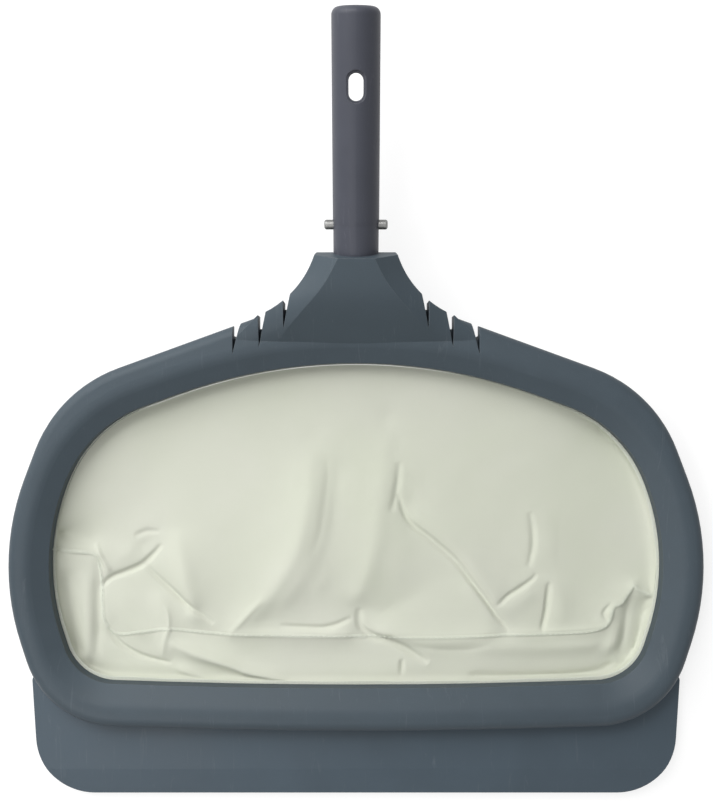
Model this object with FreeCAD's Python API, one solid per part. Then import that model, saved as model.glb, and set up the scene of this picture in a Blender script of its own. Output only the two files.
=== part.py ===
import FreeCAD
import Part
import math
import os

from FreeCAD import Vector

# Leaf skimmer head lying on its back, in millimetres. +Z is up, towards the mouth of the bag, and +Y runs
# along the handle, away from the scoop lip. While it is drawn, Y is 0 at the widest line of the ring.

# Ring, seen from the front. The corners are those of the straight lines before they are rounded.
crown_peak_y = 177.8
crown_corner_x = 190.4
crown_corner_y = 108.5
crown_r = 89.0
side_corner_x = 231.2
side_r = 158.0
heel_corner_x = 197.0
heel_corner_y = -104.7
heel_r = 60.0
bar_bottom_y = -110.7
bar_bow_r = 3900.0
crown_band = 28.3
side_band = 24.4
bottom_band = 26.2

# Opening of the ring
opening_peak_r = 340.0
opening_side_r = 142.0
opening_side_straight = 2.5
opening_heel_r = 34.0

# Section of the ring
ring_depth = 26.0
parting_z = 10.0
outer_round = 6.5
rear_round = 1.5
bevel_width = 13.0
bevel_drop = 7.8
face_round_share = 0.8
shell_wall = 3.0
front_skin = 3.0
rear_pocket_depth = 4.5
land_width = 15.0

# Neck
shoulder_y = 194.1
shoulder_half = 24.7
shoulder_r = 1.2
neck_flare_angle = 70.0
waist_r = 58.0
neck_rear_foot_y = 141.8
neck_rear_rise = 15.0
neck_root_z = 2.0
neck_side_inset = 0.05
mouth_setback = 6.0
mouth_rise = 16.0
neck_parting_y = 143.0
neck_parting_join_y = 165.0

# Sections of the neck: distance below the shoulder, then half width and height of its front panel and of the
# outer edges of its flanks
neck_sections = [
    (0.0, 7.5, 54.6, 27.5, 40.0),
    (9.1, 12.4, 52.2, 33.0, 38.2),
    (19.1, 18.0, 49.0, 40.0, 36.0),
    (28.1, 25.0, 45.2, 50.0, 33.6),
    (36.1, 32.6, 40.4, 59.0, 31.0),
    (44.1, 40.2, 34.6, 67.5, 28.6),
    (53.1, 48.0, 27.6, 77.0, 26.2),
    (64.1, 57.0, 18.6, 88.0, 21.0),
]

# Relief notches in each flank of the neck: outer wall x, tip y and depth from the mouth to the tip
notch_walls = [45.4, 61.5, 78.2]
notch_tips = [147.0, 135.6, 131.2]
notch_depths = [25.0, 24.0, 22.0]
notch_mouth = 5.4
notch_through = 12.0
notch_recess = 9.0
blade_thick = 10.0
blade_relief_in = 0.6
blade_relief_out = 8.0

# Handle tube
tube_r = 14.3
tube_wall = 3.2
tube_exposed = 141.0
tube_inserted = 26.0
tube_tilt = 18.5
tube_axis_z = 35.0
tip_round = 4.5
tip_collar = 8.0
tip_collar_wall = 4.9
tube_seat_gap = 0.05
root_relief = 0.25
root_gap = 0.3
root_cone = 3.0

# Hanging slot through the tube
slot_centre = 97.3
slot_width = 9.0
slot_length = 16.0
slot_rim = 1.2
slot_rim_depth = 1.4

# Snap buttons, their spring and the pin that carries both
button_place = 17.0
button_r = 3.0
button_gap = 0.08
button_travel = 5.5
button_sunk = 0.3
button_nose = 1.4
flange_r = 4.2
flange_thick = 1.2
flange_gap = 0.17
leaf_thick = 0.8
leaf_width = 8.0
leaf_pad = 9.0
leaf_curl = 5.0
leaf_curl_in = 2.0
pin_place = -14.0
pin_r = 2.2
pin_gap = 0.05
pin_half = 18.0
bend_r = 2.3
bend_gap = 0.1

# Scoop lip
lip_top_half = 210.5
lip_top_y = -76.0
lip_top_r = 4.0
lip_bottom_half = 205.5
lip_bottom_y = -153.5
lip_r = 38.0
lip_thick = 3.0
lip_taper_length = 16.0
lip_edge_thick = 1.4
lip_bead_width = 2.6
lip_bead_gap = 0.6
lip_bead_height = 1.2
lip_to_hem = 3.0

# Bag
hem_width = 12.0
hem_inside = 3.0
hem_thick = 1.2
hem_cord_r = 1.3
hem_cord_gap = 0.15
bag_thick = 1.0
bag_wall_gap = 0.6
bag_slope = 15.0
bag_clearance = 0.3
seam_y = 12.0
seam_width = 3.0
seam_thick = 0.6
fold_plan_gap = 1.0

# Main folds of the bag as it lies: crest points with their height and the widths of the slopes on the left
# and on the right, seen along the fold
bag_folds = [
    [(-37, 72, 0, 6, 4), (-34, 40, 4.5, 26, 9), (-40, 9, 6.5, 34, 11), (-56, -18, 5.5, 28, 12),
     (-85, -49, 0, 6, 5)],
    [(22, 82, 0, 6, 4), (22, 44, 4.0, 24, 14), (19, 12, 5.0, 28, 16), (8, -24, 0, 7, 6)],
    [(-124, 20, 0, 6, 5), (-116, -4, 5.0, 20, 20), (-106, -32, 4.2, 13, 15), (-97, -47, 0, 4, 4)],
    [(119, 42, 0, 5, 5), (120, 12, 3.4, 11, 20), (122, -10, 0, 4, 8)],
    [(24, -40, 0, 5, 5), (50, -42, 4.4, 15, 12), (78, -45, 3.6, 12, 10), (100, -50, 0, 4, 3)],
    [(-128, -44, 0, 4, 4), (-106, -51, 3.6, 5, 7), (-70, -58, 0, 4, 4)],
]

# Screws
screw_r = 1.5
screw_gap = 0.05
screw_length = 11.0
screw_bite = 7.0
screw_end_gap = 1.0
head_r = 3.0
head_height = 2.0
head_gap = 0.3
drive_r = 1.3
drive_depth = 1.2
boss_r = 4.5
full_ring_screw_count = 12
ring_screw_each_side = 4
ring_screw_inset = 8.5
lip_screw_pitch = 65.0
lip_screw_each_side = 2
lip_screw_inset = 7.0
neck_screws_at = [(20.8, 184.0), (34.0, 160.0)]

# Sizes that follow from those above
bevel_foot_z = ring_depth - bevel_drop
bore_r = tube_r - tube_wall
root_r = tube_r - root_relief
root_end = button_place + button_r + root_gap
button_reach = button_travel - button_sunk
rear_slope = neck_rear_rise / (shoulder_y - neck_rear_foot_y)
crown_slope = (crown_peak_y - crown_corner_y) / crown_corner_x
flare_slope = math.tan(math.radians(neck_flare_angle))
tilt = math.radians(tube_tilt)
flange_face = math.sqrt(bore_r ** 2 - flange_r ** 2) - flange_gap
leaf_face = flange_face - flange_thick
bend_place = pin_place + pin_r + bend_gap + bend_r + leaf_thick
lip_floor_z = parting_z - lip_thick
hem_floor_z = parting_z - hem_thick
seam_inset = bag_wall_gap + bag_slope + bag_thick + 2 * seam_thick
beyond = 400.0


def both_sides(half):
    """All corners of a symmetrical outline, from those of its right side, top to bottom."""
    return half + [(-x, y, r) for x, y, r in reversed(half) if x > 0]


def moved_in(corners, widths):
    """Corners of an outline whose side after each corner is moved inwards by that side's width."""
    moved = []
    for i, (x, y, radius) in enumerate(corners):
        here = Vector(x, y, 0)
        came = here - Vector(corners[i - 1][0], corners[i - 1][1], 0)
        following = corners[(i + 1) % len(corners)]
        goes = Vector(following[0], following[1], 0) - here
        normal_in = Vector(came.y, -came.x, 0).normalize()
        normal_out = Vector(goes.y, -goes.x, 0).normalize()
        width_in, width_out = widths[i - 1], widths[i]
        share = normal_in.dot(normal_out)
        along_in = (width_in - width_out * share) / (1 - share ** 2)
        along_out = (width_out - width_in * share) / (1 - share ** 2)
        place = here + normal_in * along_in + normal_out * along_out
        convex = came.x * goes.y - came.y * goes.x < 0
        moved.append((place.x, place.y, radius - width_in if convex else radius + width_in))
    return moved


def corner_at(corners, i, z=0.0):
    """Place of a corner, the directions of its two sides away from it, and half of its angle."""
    following = corners[(i + 1) % len(corners)]
    here = Vector(corners[i][0], corners[i][1], z)
    back = (Vector(corners[i - 1][0], corners[i - 1][1], z) - here).normalize()
    ahead = (Vector(following[0], following[1], z) - here).normalize()
    return here, back, ahead, back.getAngle(ahead) / 2


def outline(corners, z, inset=0.0):
    """Closed wire at height z with a tangent arc at each corner, moved in evenly by inset."""
    if inset:
        corners = moved_in(corners, [inset] * len(corners))
    arcs = []
    for i, (x, y, radius) in enumerate(corners):
        here, back, ahead, half_angle = corner_at(corners, i, z)
        reach = radius / math.tan(half_angle)
        top = here + (back + ahead).normalize() * (radius / math.sin(half_angle) - radius)
        arcs.append((here + back * reach, top, here + ahead * reach))
    edges = []
    for i, (start, top, end) in enumerate(arcs):
        edges.append(Part.Arc(start, top, end).toShape())
        next_start = arcs[(i + 1) % len(arcs)][0]
        edges.append(Part.LineSegment(end, next_start).toShape())
    return Part.Wire(edges)


def prism(wire, height):
    """The wire's flat face, extruded straight up."""
    return Part.Face(wire).extrude(Vector(0, 0, height))


def side_prism(points, half_width):
    """A profile of (y, z) points, extruded along X to both sides."""
    wire = Part.makePolygon([Vector(-half_width, y, z) for y, z in points + points[:1]])
    return Part.Face(wire).extrude(Vector(2 * half_width, 0, 0))


def cylinder(radius, start, direction, length):
    return Part.makeCylinder(radius, length, start, direction)


def in_handle_frame(shape):
    """Turns and moves a shape drawn along +Y from the shoulder to where the handle is."""
    placed = shape.copy()
    placed.rotate(Vector(0, 0, 0), Vector(1, 0, 0), tube_tilt)
    placed.translate(Vector(0, shoulder_y, tube_axis_z))
    return placed


# Outlines
ring_half = [
    (0, crown_peak_y, opening_peak_r + crown_band),
    (crown_corner_x, crown_corner_y, crown_r),
    (side_corner_x, 0, side_r),
    (heel_corner_x, heel_corner_y, heel_r),
    (0, bar_bottom_y, bar_bow_r),
]
band_half = [crown_band, side_band, side_band, bottom_band]
ring_corners = both_sides(ring_half)


def opening_outline():
    """Corners of the opening; the crown's arc takes what the side's arc leaves of the line between them."""
    places = [(corner[0], corner[1]) for corner in moved_in(ring_corners, band_half + band_half[::-1])]
    crown, crown_back, crown_ahead, crown_half = corner_at(places, 1)
    side, side_back, side_ahead, side_half = corner_at(places, 2)
    side_reach = opening_side_r / math.tan(side_half)
    crown_reach = (side - crown).Length - opening_side_straight - side_reach
    radii = [opening_peak_r, crown_reach * math.tan(crown_half), opening_side_r, opening_heel_r, bar_bow_r]
    return [(x, y, radius) for (x, y), radius in zip(places, radii + radii[-2:0:-1])]


def waist_corner():
    """Where the side of the neck would meet the line of the crown."""
    x = (shoulder_y + flare_slope * shoulder_half - crown_peak_y) / (flare_slope - crown_slope)
    return (x, crown_peak_y - crown_slope * x, waist_r)


def neck_corners(rise, radius):
    """Outline of ring and neck whose top is above the shoulder by rise."""
    top = (shoulder_half - rise / flare_slope, shoulder_y + rise, radius)
    return both_sides([top, waist_corner()] + ring_half[1:])


opening_corners = opening_outline()
outer_corners = neck_corners(0, shoulder_r)
lip_corners = both_sides([(lip_top_half, lip_top_y, lip_top_r), (lip_bottom_half, lip_bottom_y, lip_r)])


def opening_prism(outset, low, high):
    return prism(outline(opening_corners, low, -outset), high - low)


def opening_band(outer_outset, inner_outset, low, high):
    return opening_prism(outer_outset, low, high).cut(opening_prism(inner_outset, low, high))


def parting_at(y):
    """Height of the face where front and rear frames meet."""
    on_axis = tube_axis_z + (y - shoulder_y) * math.tan(tilt)
    join_z = tube_axis_z + (neck_parting_join_y - shoulder_y) * math.tan(tilt)
    if y <= neck_parting_y:
        return parting_z
    if y < neck_parting_join_y:
        share = (y - neck_parting_y) / (neck_parting_join_y - neck_parting_y)
        return parting_z + share * (join_z - parting_z)
    return on_axis


def above_parting():
    points = [(-beyond, parting_z), (neck_parting_y, parting_z)]
    points.append((neck_parting_join_y, parting_at(neck_parting_join_y)))
    points.append((beyond, parting_at(beyond)))
    return side_prism(points + [(beyond, beyond), (-beyond, beyond)], beyond)


def neck_section(y, ridge, flank):
    """Six-cornered cross-section of the neck: flat front, two flanks, and a base inside the ring."""
    right = [ridge, flank, (flank[0], neck_root_z)]
    left = [(-x, z) for x, z in reversed(right)]
    return Part.makePolygon([Vector(x, y, z) for x, z in right + left + right[:1]])


def neck_body():
    """Raised housing that swells smoothly out of the ring's bevel and narrows up to the shoulder."""
    sections = []
    for below, ridge_half, ridge_z, flank_half, flank_z in neck_sections:
        sections.append(neck_section(shoulder_y - below, (ridge_half, ridge_z), (flank_half, flank_z)))
    plan = prism(outline(outer_corners, 0, neck_side_inset), beyond)
    return Part.makeLoft(sections, True, False).common(plan)


def ring_slab():
    """Flat ring and flanks, rounded along the outside, before the opening is cut."""
    slab = prism(outline(neck_corners(4 * outer_round, shoulder_r + outer_round), 0), ring_depth)
    top_edges = [e for e in slab.Edges if min(v.Z for v in e.Vertexes) > ring_depth - 0.01]
    slab = slab.makeFillet(outer_round, top_edges)
    low_edges = [e for e in slab.Edges if max(v.Z for v in e.Vertexes) < 0.01]
    slab = slab.makeFillet(rear_round, low_edges)
    past_neck = Part.makeBox(2 * beyond, beyond, beyond, Vector(-beyond, shoulder_y - 2 * shoulder_r, -1))
    return slab.cut(past_neck)


def behind_neck():
    """Space under the neck, whose rear face rises towards the shoulder."""
    foot = neck_rear_foot_y
    rise = rear_slope * (beyond - foot)
    return side_prism([(foot, 0), (beyond, rise), (beyond, -1), (foot, -1)], beyond)


def bevel_cutter():
    """Flared mouth: the opening widens towards the front."""
    over = 1.0
    width = bevel_width * (bevel_drop + over) / bevel_drop
    low = outline(opening_corners, bevel_foot_z)
    high = outline(opening_corners, ring_depth + over, -width)
    return Part.makeLoft([low, high], True, True)


def open_slab():
    """Ring with its opening and flared mouth, whose front edge is rounded as widely as its flat allows."""
    slab = ring_slab().cut(opening_prism(0, -1, ring_depth + 1)).cut(bevel_cutter())
    flat = min(crown_band, side_band, bottom_band) - bevel_width - outer_round
    radius = face_round_share * flat / math.tan(math.atan2(bevel_drop, bevel_width) / 2)
    ridge = outline(opening_corners, ring_depth, -bevel_width)
    edges = [e for e in slab.Edges if abs(e.BoundBox.ZMin - ring_depth) < 0.01]
    inner = [e for e in edges if ridge.distToShape(Part.Vertex(middle_of(e)))[0] < 0.01]
    return slab.makeFillet(radius, inner)


def middle_of(edge):
    return edge.valueAt((edge.FirstParameter + edge.LastParameter) / 2)


def notch(side, wall, tip_y, depth, low, high, tip_cut=0.0):
    """Plan wedge with a straight outer wall and a slanted one that meets it at the tip."""
    mouth_y = tip_y + 2 * depth
    mouth = notch_mouth * (mouth_y - tip_y) / depth
    short = notch_mouth * tip_cut / depth
    points = [(wall, tip_y + tip_cut), (wall, mouth_y), (wall - mouth, mouth_y)]
    if tip_cut:
        points.append((wall - short, tip_y + tip_cut))
    wire = Part.makePolygon([Vector(side * x, y, low) for x, y in points + points[:1]])
    return prism(wire, high - low)


def notch_cutters():
    cutters = []
    for wall, tip_y, depth in zip(notch_walls, notch_tips, notch_depths):
        for side in (-1, 1):
            cutters.append(notch(side, wall, tip_y, depth, -1, beyond, depth - notch_through))
            cutters.append(notch(side, wall, tip_y, depth, ring_depth - notch_recess, beyond))
    return cutters


def blade_space(low, high):
    """Both stretches where the notches go right through, from just inside the first to beyond the last."""
    starts = [tip + depth - notch_through for tip, depth in zip(notch_tips, notch_depths)]
    near, far = notch_walls[0] - blade_relief_in - notch_mouth, notch_walls[-1] + blade_relief_out
    plan = [(near, starts[0]), (notch_walls[1], starts[1]), (far, starts[2]), (far, beyond), (near, beyond)]
    wires = [Part.makePolygon([Vector(side * x, y, low) for x, y in plan + plan[:1]]) for side in (-1, 1)]
    return [prism(wire, high - low) for wire in wires]


def ring_screw_places():
    """Evenly spaced down each side of the ring, without the crown's middle and the bottom bar."""
    steps = 100
    path = outline(ring_corners, parting_z, ring_screw_inset)
    points = path.discretize(Number=full_ring_screw_count * steps + 1)[:-1]
    first = max(range(len(points)), key=lambda i: points[i].y)
    right = [points[first + n * steps] for n in range(1, ring_screw_each_side + 1)]
    return [(side * p.x, p.y) for p in right for side in (-1, 1)]


def lip_screw_places():
    y = bar_bottom_y + lip_screw_inset
    return [(n * lip_screw_pitch, y) for n in range(-lip_screw_each_side, lip_screw_each_side + 1)]


def neck_screw_places():
    return [(side * x, y) for x, y in neck_screws_at for side in (-1, 1)]


def ring_seat(x, y):
    return parting_z - (screw_length - screw_bite)


def lip_seat(x, y):
    return ring_seat(x, y) - lip_thick


def neck_seat(x, y):
    return parting_at(y) - (screw_length - screw_bite)


screw_rows = {
    "ring_screws": (ring_screw_places(), ring_seat),
    "lip_screws": (lip_screw_places(), lip_seat),
    "neck_screws": (neck_screw_places(), neck_seat),
}


def screw(x, y, seat_z):
    """Pan-head screw that is driven upwards, with its head's upper face at seat_z."""
    up = Vector(0, 0, 1)
    foot = Vector(x, y, seat_z - head_height)
    long, short = 2 * drive_r, drive_r / 2
    head = cylinder(head_r, foot, up, head_height)
    drive = Part.makeBox(long, short, drive_depth, foot - Vector(long / 2, short / 2, 0))
    cross = Part.makeBox(short, long, drive_depth, foot - Vector(short / 2, long / 2, 0))
    shank = cylinder(screw_r, Vector(x, y, seat_z), up, screw_length)
    return head.fuse(shank).cut(drive.fuse(cross)).removeSplitter()


def screw_holes(x, y, seat_z):
    up = Vector(0, 0, 1)
    bore = cylinder(screw_r + screw_gap, Vector(x, y, seat_z), up, screw_length + screw_end_gap)
    sink = cylinder(head_r + head_gap, Vector(x, y, -1), up, seat_z + 1)
    return bore.fuse(sink)


def all_screw_holes():
    holes = [screw_holes(x, y, seat(x, y)) for places, seat in screw_rows.values() for x, y in places]
    return Part.makeCompound(holes)


def bosses(low, high):
    """Pillars around the screws of the ring and the lip."""
    places = screw_rows["ring_screws"][0] + screw_rows["lip_screws"][0]
    return [cylinder(boss_r, Vector(x, y, low), Vector(0, 0, 1), high - low) for x, y in places]


def ring_pocket(low, high):
    """Hollow between the outer wall and the bevel, clear of the neck and the screw bosses."""
    outer = prism(outline(ring_corners, low, shell_wall), high - low)
    pocket = outer.cut(opening_prism(land_width, low, high))
    neck_half = notch_walls[-1] + blade_relief_out + shell_wall
    pocket = pocket.cut(Part.makeBox(2 * neck_half, beyond, high - low, Vector(-neck_half, 0, low)))
    return pocket.cut(Part.makeCompound(bosses(low, high)))


def tube_seat():
    """Socket for the handle tube and the channel for its cross pin."""
    start = Vector(0, -tube_inserted, 0)
    socket = cylinder(root_r + tube_seat_gap, start, Vector(0, 1, 0), beyond)
    channel = cylinder(pin_r + pin_gap, Vector(-pin_half, pin_place, 0), Vector(1, 0, 0), 2 * pin_half)
    return in_handle_frame(socket.fuse(channel))


def mouth_cutter():
    """Slanting cut that sets the front of the neck back from the shoulder."""
    slope = mouth_setback / mouth_rise
    top = tube_axis_z + 3 * mouth_rise
    points = [(shoulder_y, tube_axis_z), (shoulder_y - 3 * slope * mouth_rise, top)]
    return side_prism(points + [(beyond, top), (beyond, tube_axis_z)], shoulder_half + tube_r)


def lip_plan(low, high):
    """Space of the lip's clamped part and blade, clear of the hem."""
    whole = prism(outline(lip_corners, low), high - low)
    return whole.cut(opening_prism(hem_width + lip_to_hem, low, high))


def frame_shells():
    """Front and rear frames, cut from one body along the parting face."""
    whole = open_slab().fuse(neck_body()).cut(behind_neck())
    whole = whole.cut(opening_prism(0, -1, ring_depth + 1)).cut(mouth_cutter())
    whole = whole.cut(Part.makeCompound(notch_cutters() + blade_space(-1, ring_depth - blade_thick)))
    whole = whole.cut(tube_seat()).cut(all_screw_holes())
    above = above_parting().fuse(blade_space(ring_depth - blade_thick, beyond))
    front = whole.common(above).cut(ring_pocket(parting_z, ring_depth - front_skin))
    rear = whole.cut(above).cut(ring_pocket(0, rear_pocket_depth))
    rear = rear.cut(opening_band(hem_width, -1, hem_floor_z, parting_z))
    rear = rear.cut(lip_plan(lip_floor_z, parting_z))
    rear = rear.cut(hem_cord_solid(hem_cord_r + hem_cord_gap))
    return front.removeSplitter(), rear.removeSplitter()


def hem_cord_solid(radius):
    """Round cord in a loop just under the hem, along the opening."""
    path = outline(opening_corners, hem_floor_z - hem_cord_r - hem_cord_gap, -hem_width / 2)
    start = path.OrderedEdges[1]
    point = start.valueAt(start.FirstParameter)
    along = start.tangentAt(start.FirstParameter)
    ring = Part.Wire(Part.makeCircle(radius, point, along))
    ordered = path.OrderedEdges[1:] + path.OrderedEdges[:1]
    return Part.Wire(ordered).makePipeShell([ring], True, False)


def scoop_lip():
    lip = lip_plan(lip_floor_z, parting_z)
    taper = [
        (lip_bottom_y + lip_taper_length, parting_z),
        (lip_bottom_y - 1, lip_floor_z + lip_edge_thick),
        (lip_bottom_y - 1, parting_z + 1),
        (lip_bottom_y + lip_taper_length, parting_z + 1),
    ]
    lip = lip.cut(side_prism(taper, beyond))
    bead_low = prism(outline(ring_corners, parting_z, -lip_bead_gap - lip_bead_width), lip_bead_height)
    bead = bead_low.cut(prism(outline(ring_corners, parting_z, -lip_bead_gap), lip_bead_height))
    blade = prism(outline(lip_corners, parting_z, lip_bead_width), lip_bead_height)
    lip = lip.fuse(bead.common(blade))
    return lip.cut(all_screw_holes()).removeSplitter()


def obround(width, length, low, height):
    """Upright prism with a slot-shaped plan, long along Y, about the slot's centre."""
    straight = (length - width) / 2
    near = Vector(0, slot_centre - straight, low)
    far = Vector(0, slot_centre + straight, low)
    up = Vector(0, 0, 1)
    box = Part.makeBox(width, 2 * straight, height, near - Vector(width / 2, 0, 0))
    return box.fuse([cylinder(width / 2, near, up, height), cylinder(width / 2, far, up, height)])


def handle_tube():
    """Tube with a rounded tip, a slot to hang it up by, and a slightly thinner root up to the buttons."""
    along = Vector(0, 1, 0)
    length = tube_inserted + tube_exposed
    tube = cylinder(tube_r, Vector(0, root_end, 0), along, tube_exposed - root_end)
    tip_edge = [e for e in tube.Edges if e.BoundBox.YMin > tube_exposed - 0.01]
    tube = tube.makeFillet(tip_round, tip_edge)
    root = cylinder(root_r, Vector(0, -tube_inserted, 0), along, tube_inserted + root_end - root_cone)
    cone = Part.makeCone(root_r, tube_r, root_cone, Vector(0, root_end - root_cone, 0), along)
    tube = tube.fuse([root, cone])
    tube = tube.cut(cylinder(bore_r, Vector(0, -tube_inserted, 0), along, length - tip_collar))
    tube = tube.cut(cylinder(tube_r - tip_collar_wall, Vector(0, 0, 0), along, length))
    tube = tube.cut(obround(slot_width, slot_length, -2 * tube_r, 4 * tube_r))
    rim = obround(slot_width + 2 * slot_rim, slot_length + 2 * slot_rim, tube_r - slot_rim_depth, tube_r)
    tube = tube.cut(rim).cut(rim.mirror(Vector(0, 0, 0), Vector(0, 0, 1)))
    for radius, place in ((button_r + button_gap, button_place), (pin_r + pin_gap, pin_place)):
        tube = tube.cut(cylinder(radius, Vector(-2 * tube_r, place, 0), Vector(1, 0, 0), 4 * tube_r))
    return in_handle_frame(tube)


def cross_pin():
    return in_handle_frame(cylinder(pin_r, Vector(-pin_half, pin_place, 0), Vector(1, 0, 0), 2 * pin_half))


def button(side):
    """Round-nosed pin with a flange that stays inside the tube."""
    out = Vector(side, 0, 0)
    stem_length = tube_r + button_reach - leaf_face
    base = Vector(side * leaf_face, button_place, 0)
    stem = cylinder(button_r, base, out, stem_length)
    nose = [e for e in stem.Edges if abs(abs(e.BoundBox.Center.x) - leaf_face - stem_length) < 0.01]
    stem = stem.makeFillet(button_nose, nose)
    return in_handle_frame(stem.fuse(cylinder(flange_r, base, out, flange_thick)).removeSplitter())


def snap_spring():
    """V-shaped leaf whose bend rests on the cross pin and whose legs each carry a button."""
    def leg(side):
        outer = [
            (bend_r + leaf_thick, bend_place),
            (leaf_face, button_place - leaf_pad / 2),
            (leaf_face, button_place + leaf_pad / 2),
            (leaf_face - leaf_curl_in, button_place + leaf_pad / 2 + leaf_curl),
        ]
        inner = [(x - leaf_thick, y) for x, y in reversed(outer)]
        points = [Vector(side * x, y, -leaf_width / 2) for x, y in outer + inner + outer[:1]]
        return prism(Part.makePolygon(points), leaf_width)

    low = Vector(0, bend_place, -leaf_width / 2)
    up = Vector(0, 0, 1)
    bend = cylinder(bend_r + leaf_thick, low, up, leaf_width).cut(cylinder(bend_r, low, up, leaf_width))
    upper = Part.makeBox(4 * bend_r, 4 * bend_r, leaf_width, low - Vector(2 * bend_r, 0, 0))
    spring = bend.cut(upper).fuse([leg(-1), leg(1)]).removeSplitter()
    return in_handle_frame(spring)


def bag_tray():
    """Bag as it lies: a sloping wall under the hem and a flat panel on the ground."""
    top = hem_floor_z
    outer = Part.makeLoft(
        [
            outline(opening_corners, top, bag_wall_gap),
            outline(opening_corners, bag_clearance, bag_wall_gap + bag_slope),
        ],
        True,
        True,
    )
    inner = Part.makeLoft(
        [
            outline(opening_corners, top, bag_wall_gap + bag_thick),
            outline(opening_corners, bag_clearance + bag_thick, bag_wall_gap + bag_slope + bag_thick),
        ],
        True,
        True,
    )
    return outer.cut(inner)


def fold_tent(crest):
    """Solid under one fold of the bag: a ridge with two slopes, on a base half as deep as the panel."""
    sections = []
    for i, (x, y, height, left, right) in enumerate(crest):
        before, after = crest[max(i - 1, 0)], crest[min(i + 1, len(crest) - 1)]
        along = Vector(after[0] - before[0], after[1] - before[1], 0).normalize()
        across = Vector(-along.y, along.x, 0)
        top = Vector(x, y, bag_clearance + height)
        feet = [Vector(x, y, bag_clearance) + across * reach for reach in (left, -right)]
        base = [foot - Vector(0, 0, bag_thick / 2) for foot in feet]
        sections.append(Part.makePolygon([base[0], feet[0], top, feet[1], base[1], base[0]]))
    return Part.makeLoft(sections, True, True)


def folded(panel):
    """The panel with its main folds, each raised over a hollow so that the cloth keeps its thickness."""
    plan = prism(outline(opening_corners, -1, seam_inset + seam_width + fold_plan_gap), beyond)
    tents = [fold_tent(crest).common(plan) for crest in bag_folds]
    raised = [tent.translated(Vector(0, 0, bag_thick)) for tent in tents]
    return panel.fuse(raised).cut(Part.makeCompound(tents))


def bag_pieces():
    """Rear panel with the upper wall, and the gusset along the lower wall."""
    tray = bag_tray()
    below_seam = Part.makeBox(2 * beyond, beyond, beyond, Vector(-beyond, seam_y - beyond, -1))
    panel_plan = prism(outline(opening_corners, -1, bag_wall_gap + bag_slope), beyond)
    gusset = tray.common(below_seam).cut(panel_plan)
    return folded(tray.cut(gusset)), gusset


def seam_tape():
    """Binding on the seam between the rear panel and the gusset."""
    low = bag_clearance + bag_thick
    band = opening_band(-seam_inset, -seam_inset - seam_width, low, low + seam_thick)
    return band.common(Part.makeBox(2 * beyond, beyond, beyond, Vector(-beyond, seam_y - beyond, -1)))


def pieces():
    front, rear = frame_shells()
    panel, gusset = bag_pieces()
    made = {
        "front_frame": front,
        "rear_frame": rear,
        "scoop_lip": scoop_lip(),
        "handle_tube": handle_tube(),
        "cross_pin": cross_pin(),
        "snap_spring": snap_spring(),
        "left_button": button(-1),
        "right_button": button(1),
        "net_rear_panel": panel,
        "net_gusset": gusset,
        "net_seam_tape": seam_tape(),
        "net_hem": opening_band(hem_width, -hem_inside, hem_floor_z, parting_z),
        "hem_cord": hem_cord_solid(hem_cord_r),
    }
    for name, (places, seat) in screw_rows.items():
        made[name] = Part.makeCompound([screw(x, y, seat(x, y)) for x, y in places])
    return made


def centred(made):
    """Moves everything so that the origin is under the middle of the whole."""
    box = Part.makeCompound(list(made.values())).optimalBoundingBox(False, False)
    shift = Vector(-box.Center.x, -box.Center.y, -box.ZMin)
    for shape in made.values():
        shape.translate(shift)
    return shift


def main():
    made = pieces()
    shift = centred(made)
    os.makedirs("parts", exist_ok=True)
    for name, shape in made.items():
        shape.exportStep("parts/" + name + ".step")
        box = shape.BoundBox
        print(f"{name:16s} solids {len(shape.Solids)} valid {shape.isValid()} volume {shape.Volume:9.1f}")
        print(f"    x {box.XMin:.1f} {box.XMax:.1f}  y {box.YMin:.1f} {box.YMax:.1f}  top {box.ZMax:.1f}")
    print(f"origin moved by {shift.x:.3f} {shift.y:.3f} {shift.z:.3f}")
    return made


main()
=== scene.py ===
import math

import bpy
import numpy as np
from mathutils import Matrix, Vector


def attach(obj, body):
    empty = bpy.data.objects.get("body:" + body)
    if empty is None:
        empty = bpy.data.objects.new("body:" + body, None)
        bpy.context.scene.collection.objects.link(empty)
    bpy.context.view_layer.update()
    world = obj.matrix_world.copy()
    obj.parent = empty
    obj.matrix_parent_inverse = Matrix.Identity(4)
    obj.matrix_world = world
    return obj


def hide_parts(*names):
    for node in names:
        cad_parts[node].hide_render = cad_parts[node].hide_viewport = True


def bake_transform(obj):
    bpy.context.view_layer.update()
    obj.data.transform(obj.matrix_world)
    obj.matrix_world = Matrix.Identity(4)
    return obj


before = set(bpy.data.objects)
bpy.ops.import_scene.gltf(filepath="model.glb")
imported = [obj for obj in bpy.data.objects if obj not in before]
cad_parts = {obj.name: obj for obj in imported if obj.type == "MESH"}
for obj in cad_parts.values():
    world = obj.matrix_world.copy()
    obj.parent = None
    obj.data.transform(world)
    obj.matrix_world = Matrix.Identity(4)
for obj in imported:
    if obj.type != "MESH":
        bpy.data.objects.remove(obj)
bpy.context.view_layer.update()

# The skimmer head lies flat with the mouth of its bag up. All is in metres: +X is right, +Y runs along the
# handle, +Z is up and the floor is at 0.

# Outline of the ring's opening: corners of its straight lines, each with the radius that rounds it
OPENING = np.array([
    (0.0, 0.05886, 0.340), (0.17332, -0.00423, 0.084), (0.20535, -0.08940, 0.142),
    (0.17972, -0.16784, 0.034), (0.0, -0.17332, 3.900), (-0.17972, -0.16784, 0.034),
    (-0.20535, -0.08940, 0.142), (-0.17332, -0.00423, 0.084),
])
# Heights between which the hem's tape lies
HEM_TOP = 0.0100
HEM_UNDER = 0.0088


# Meshes

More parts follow.
